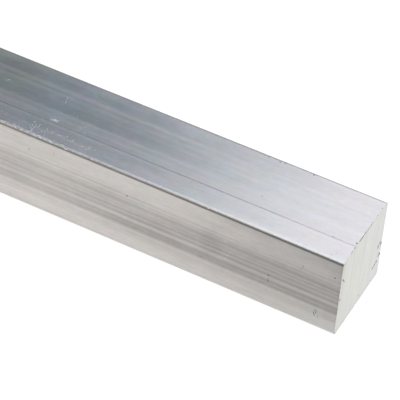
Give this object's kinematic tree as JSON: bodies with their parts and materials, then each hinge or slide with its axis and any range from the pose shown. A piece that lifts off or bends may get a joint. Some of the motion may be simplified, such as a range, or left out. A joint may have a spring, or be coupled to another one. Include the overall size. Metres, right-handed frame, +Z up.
{
  "type": "aluminium square bar",
  "caption": "Solid square bar of mill-finish aluminium with small rounded long edges, a fine die line along its top face and square-sawn ends.",
  "frame": {"origin": "middle of the underside, where the bar rests", "axes": "+X along the length, towards the sawn end that the picture shows; +Z up, out of the face with the die line; -Y out of the streaked front face"},
  "size_m": [0.3048, 0.0254, 0.0254],
  "materials": {
    "mill_aluminium": "mill finish, drawn along its length, with fine die lines and bright sawn ends"
  },
  "bodies": {
    "root": {"square_bar": "mill_aluminium"}
  },
  "joints": []
}
